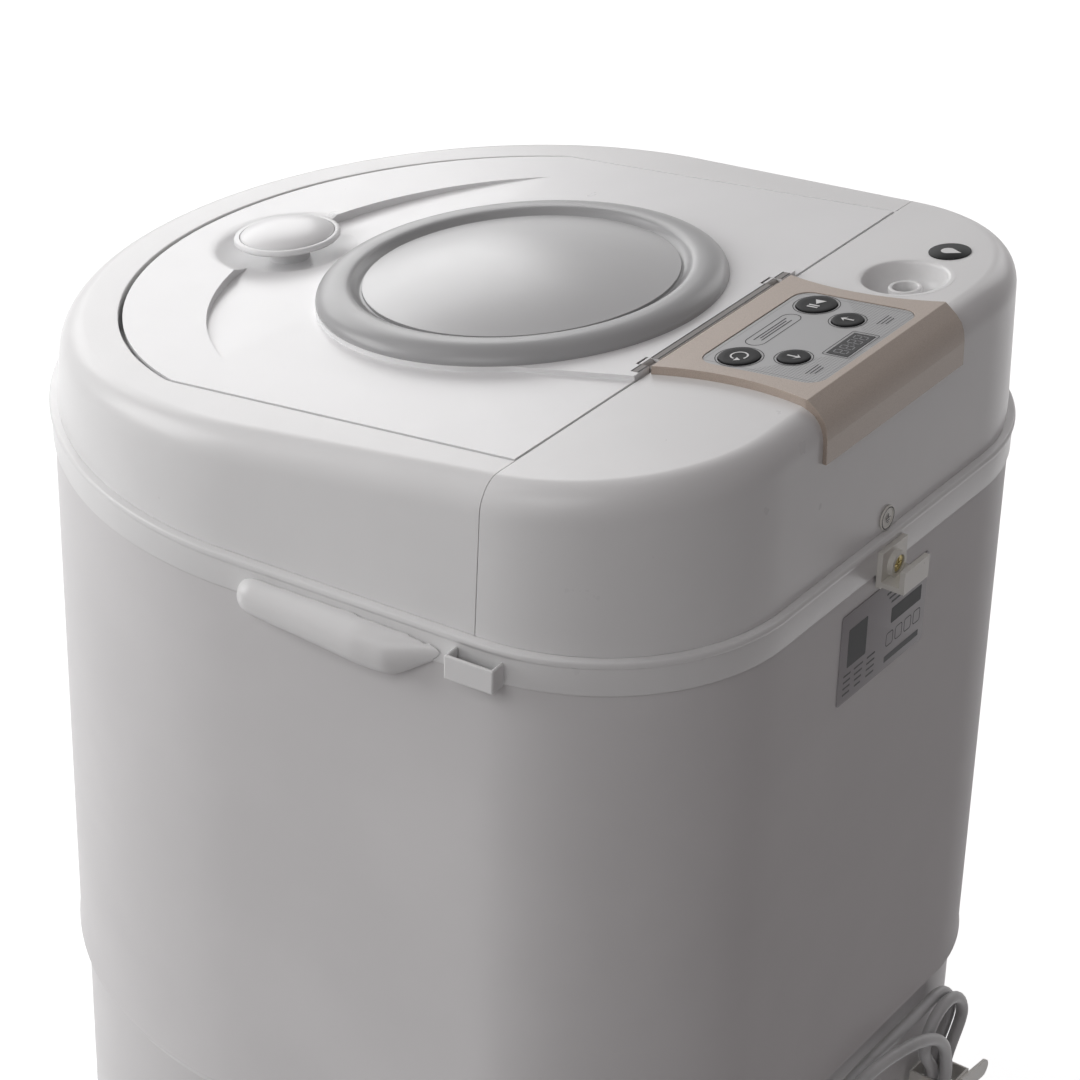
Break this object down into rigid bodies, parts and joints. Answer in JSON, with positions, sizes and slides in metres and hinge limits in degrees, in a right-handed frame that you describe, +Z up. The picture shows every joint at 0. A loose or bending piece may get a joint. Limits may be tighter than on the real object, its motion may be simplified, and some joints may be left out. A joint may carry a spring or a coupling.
{
  "type": "mini washing machine",
  "caption": "Compact top-loading washing machine with a sloping round lid, domed window, rear control console, hand grips and tied mains lead.",
  "frame": {"origin": "on the floor under the middle of the machine's bounding box, leaving the mains lead out", "axes": "+Z up, -Y towards the machine's rounded front, +X the user's right, console and mains lead towards +Y"},
  "size_m": [0.4454, 0.5159, 0.6301],
  "materials": {
    "white_abs": "gloss",
    "white_body": "semi-gloss",
    "grey_plastic": "satin",
    "foot_rubber": "matte",
    "zinc_steel": "satin",
    "ivory_plastic": "satin",
    "brass_screw": "worn",
    "silver_film": "satin film",
    "champagne": "satin metallic paint",
    "black_gloss": "gloss",
    "black_key": "satin",
    "circuit_board": "satin",
    "tub_plastic": "satin",
    "cast_housing": "as cast",
    "bearing_steel": "ground",
    "pulsator_blue": "satin",
    "motor_paint": "satin",
    "ring_grey": "gloss",
    "dome_grey": "gloss",
    "cord_pvc": "satin"
  },
  "bodies": {
    "machine": {"front_frame": "white_abs", "console_housing": "white_abs", "trim_band": "white_abs", "hand_grips": "white_abs", "hose_bracket": "white_abs", "body_shell": "white_body", "base_skirt": "white_body", "base_cover": "grey_plastic", "rubber_feet": "foot_rubber", "foot_screws": "zinc_steel", "rear_hook": "ivory_plastic", "hook_screw": "brass_screw", "earth_mark": "ivory_plastic", "rating_plate": "silver_film", "control_bezel": "champagne", "overlay_panel": "silver_film", "display_window": "black_gloss", "control_board": "circuit_board", "board_screws": "zinc_steel", "inlet_spigot": "white_abs", "inlet_duct": "grey_plastic", "inlet_badge": "black_key", "wash_tub": "tub_plastic", "tub_stand": "grey_plastic", "drain_pipe": "grey_plastic", "bearing_housing": "cast_housing", "shaft_bearings": "bearing_steel", "water_seal": "foot_rubber", "drive_belt": "foot_rubber", "motor": "motor_paint", "motor_bracket": "zinc_steel", "motor_grommets": "foot_rubber", "run_capacitor": "grey_plastic", "hinge_rod": "zinc_steel", "cord_outlet": "cord_pvc", "strain_relief": "cord_pvc", "power_cord": "cord_pvc", "cord_hank": "cord_pvc", "cord_tail": "cord_pvc", "cord_tie": "ivory_plastic", "power_plug": "cord_pvc"},
    "lid_body": {"lid": "white_abs", "lid_ring": "ring_grey", "lid_dome": "dome_grey", "knob_base": "white_abs", "knob_cap": "white_abs"},
    "pulsator_body": {"pulsator": "pulsator_blue", "pulsator_screw": "zinc_steel", "drive_shaft": "bearing_steel", "tub_pulley": "cast_housing", "pulley_nut": "zinc_steel"},
    "motor_rotor": {"motor_shaft": "bearing_steel", "motor_pulley": "cast_housing"},
    "program_key": {"program_button": "black_key"},
    "start_key": {"start_button": "black_key"},
    "time_up_key": {"time_up_button": "black_key"},
    "time_down_key": {"time_down_button": "black_key"}
  },
  "joints": [
    {"name": "lid_hinge", "type": "hinge", "parent": "machine", "child": "lid_body", "pos_m": [0, 0.11907, 0.61288], "axis": [-1, 0, 0], "range_deg": [0, 100]},
    {"name": "program_press", "type": "slide", "parent": "machine", "child": "program_key", "axis": [0, 0.1219, -0.9925], "range_m": [0, 0.001], "stiffness_N_per_m": 400, "springref_m": -0.001},
    {"name": "start_press", "type": "slide", "parent": "machine", "child": "start_key", "axis": [0, 0.1219, -0.9925], "range_m": [0, 0.001], "stiffness_N_per_m": 400, "springref_m": -0.001},
    {"name": "time_up_press", "type": "slide", "parent": "machine", "child": "time_up_key", "axis": [0, 0.1219, -0.9925], "range_m": [0, 0.001], "stiffness_N_per_m": 400, "springref_m": -0.001},
    {"name": "time_down_press", "type": "slide", "parent": "machine", "child": "time_down_key", "axis": [0, 0.1219, -0.9925], "range_m": [0, 0.001], "stiffness_N_per_m": 400, "springref_m": -0.001},
    {"name": "pulsator_spin", "type": "hinge", "parent": "machine", "child": "pulsator_body", "pos_m": [0, -0.024, 0.061], "axis": [0, 0, 1], "continuous": true},
    {"name": "motor_spin", "type": "hinge", "parent": "machine", "child": "motor_rotor", "pos_m": [0, 0.116, 0.061], "axis": [0, 0, 1], "continuous": true}
  ],
  "couplings": [
    {"joint": "motor_spin", "follows": "pulsator_spin", "ratio": 3.5}
  ]
}
